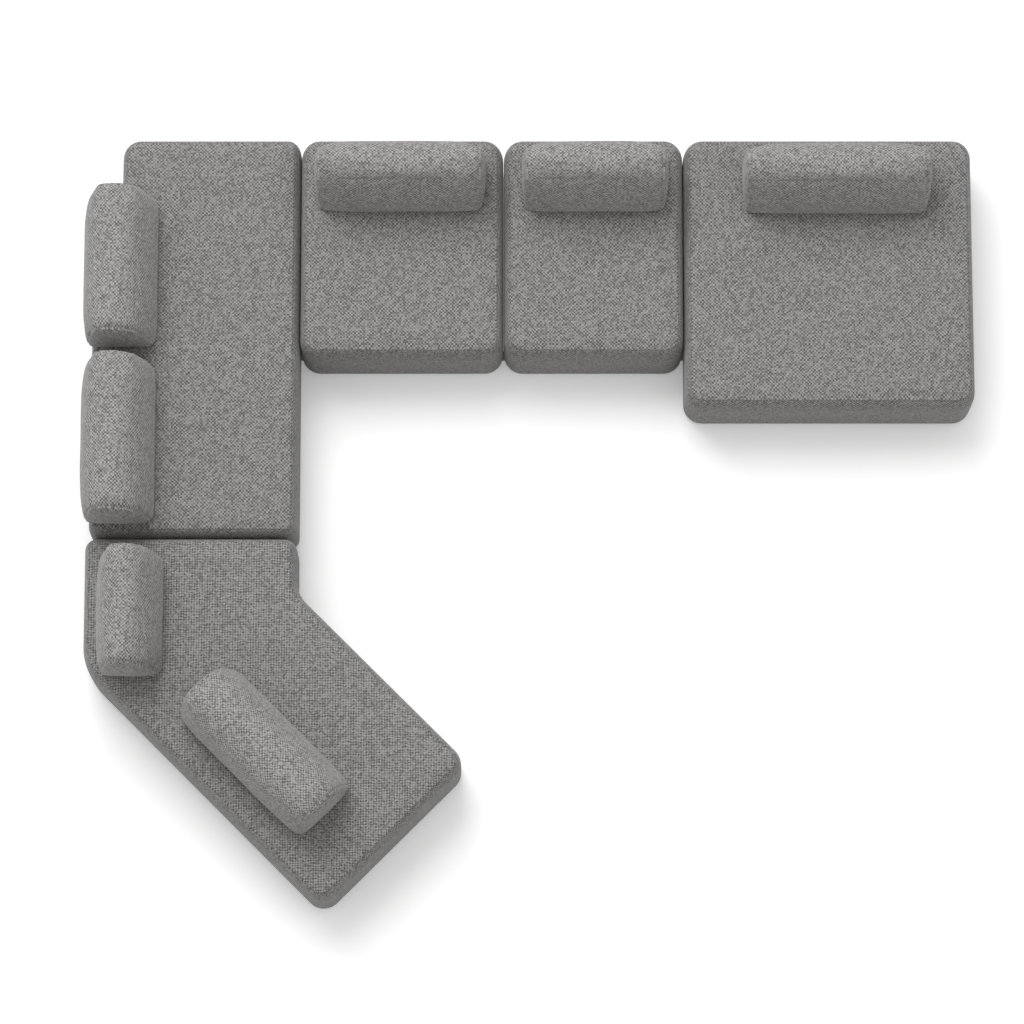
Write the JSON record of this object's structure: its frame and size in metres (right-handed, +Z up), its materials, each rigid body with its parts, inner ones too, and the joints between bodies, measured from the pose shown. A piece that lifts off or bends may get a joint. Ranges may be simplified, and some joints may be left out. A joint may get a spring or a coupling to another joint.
{
  "type": "modular corner sofa",
  "caption": "Low modular upholstered sofa in an open hook plan with an angled end seat and loose weighted back cushions that slide on the seats.",
  "frame": {"origin": "on the floor in the middle of the sofa's plan extent", "axes": "+X along the long back row towards the lounge seat, +Y to the back of that row, +Z up"},
  "size_m": [4.0531, 3.5189, 0.7409],
  "materials": {
    "woven_fabric": "grey flecked weave",
    "foam": "open-cell foam",
    "timber": "planed softwood",
    "elastic_webbing": "woven elastic",
    "dust_cloth": "non-woven cloth",
    "foot_plastic": "moulded, matt",
    "grip_base": "dimpled grip pad",
    "plate_steel": "black powder coat",
    "screw_steel": "zinc plated"
  },
  "bodies": {
    "seat_base": {"bench_cover": "woven_fabric", "bench_core": "foam", "bench_frame": "timber", "bench_webbing": "elastic_webbing", "bench_dust_cloth": "dust_cloth", "bench_feet": "foot_plastic", "wide_seat_cover": "woven_fabric", "wide_seat_core": "foam", "wide_seat_frame": "timber", "wide_seat_webbing": "elastic_webbing", "wide_seat_dust_cloth": "dust_cloth", "wide_seat_feet": "foot_plastic", "narrow_seat_cover": "woven_fabric", "narrow_seat_core": "foam", "narrow_seat_frame": "timber", "narrow_seat_webbing": "elastic_webbing", "narrow_seat_dust_cloth": "dust_cloth", "narrow_seat_feet": "foot_plastic", "lounge_seat_cover": "woven_fabric", "lounge_seat_core": "foam", "lounge_seat_frame": "timber", "lounge_seat_webbing": "elastic_webbing", "lounge_seat_dust_cloth": "dust_cloth", "lounge_seat_feet": "foot_plastic", "angled_seat_cover": "woven_fabric", "angled_seat_core": "foam", "angled_seat_frame": "timber", "angled_seat_webbing": "elastic_webbing", "angled_seat_dust_cloth": "dust_cloth", "angled_seat_feet": "foot_plastic", "joining_plates": "plate_steel", "joining_screws": "screw_steel"},
    "bench_rear_cushion": {"bench_rear_cushion_cover": "woven_fabric", "bench_rear_cushion_core": "foam", "bench_rear_cushion_base": "grip_base"},
    "bench_front_cushion": {"bench_front_cushion_cover": "woven_fabric", "bench_front_cushion_core": "foam", "bench_front_cushion_base": "grip_base"},
    "angled_straight_cushion": {"angled_straight_cushion_cover": "woven_fabric", "angled_straight_cushion_core": "foam", "angled_straight_cushion_base": "grip_base"},
    "angled_leg_cushion": {"angled_leg_cushion_cover": "woven_fabric", "angled_leg_cushion_core": "foam", "angled_leg_cushion_base": "grip_base"},
    "wide_seat_cushion": {"wide_seat_cushion_cover": "woven_fabric", "wide_seat_cushion_core": "foam", "wide_seat_cushion_base": "grip_base"},
    "narrow_seat_cushion": {"narrow_seat_cushion_cover": "woven_fabric", "narrow_seat_cushion_core": "foam", "narrow_seat_cushion_base": "grip_base"},
    "lounge_cushion": {"lounge_cushion_cover": "woven_fabric", "lounge_cushion_core": "foam", "lounge_cushion_base": "grip_base"}
  },
  "joints": [
    {"name": "bench_rear_cushion_slide", "type": "slide", "parent": "seat_base", "child": "bench_rear_cushion", "axis": [1, 0, 0], "range_m": [0, 0.45]},
    {"name": "bench_front_cushion_slide", "type": "slide", "parent": "seat_base", "child": "bench_front_cushion", "axis": [1, 0, 0], "range_m": [0, 0.45]},
    {"name": "angled_straight_cushion_slide", "type": "slide", "parent": "seat_base", "child": "angled_straight_cushion", "axis": [1, 0, 0], "range_m": [0, 0.15]},
    {"name": "angled_leg_cushion_slide", "type": "slide", "parent": "seat_base", "child": "angled_leg_cushion", "axis": [0.7071, 0.7071, 0], "range_m": [-0.12, 0.3]},
    {"name": "wide_seat_cushion_slide", "type": "slide", "parent": "seat_base", "child": "wide_seat_cushion", "axis": [0, -1, 0], "range_m": [0, 0.5]},
    {"name": "narrow_seat_cushion_slide", "type": "slide", "parent": "seat_base", "child": "narrow_seat_cushion", "axis": [0, -1, 0], "range_m": [0, 0.5]},
    {"name": "lounge_cushion_slide", "type": "slide", "parent": "seat_base", "child": "lounge_cushion", "axis": [0, -1, 0], "range_m": [0, 0.7]}
  ]
}
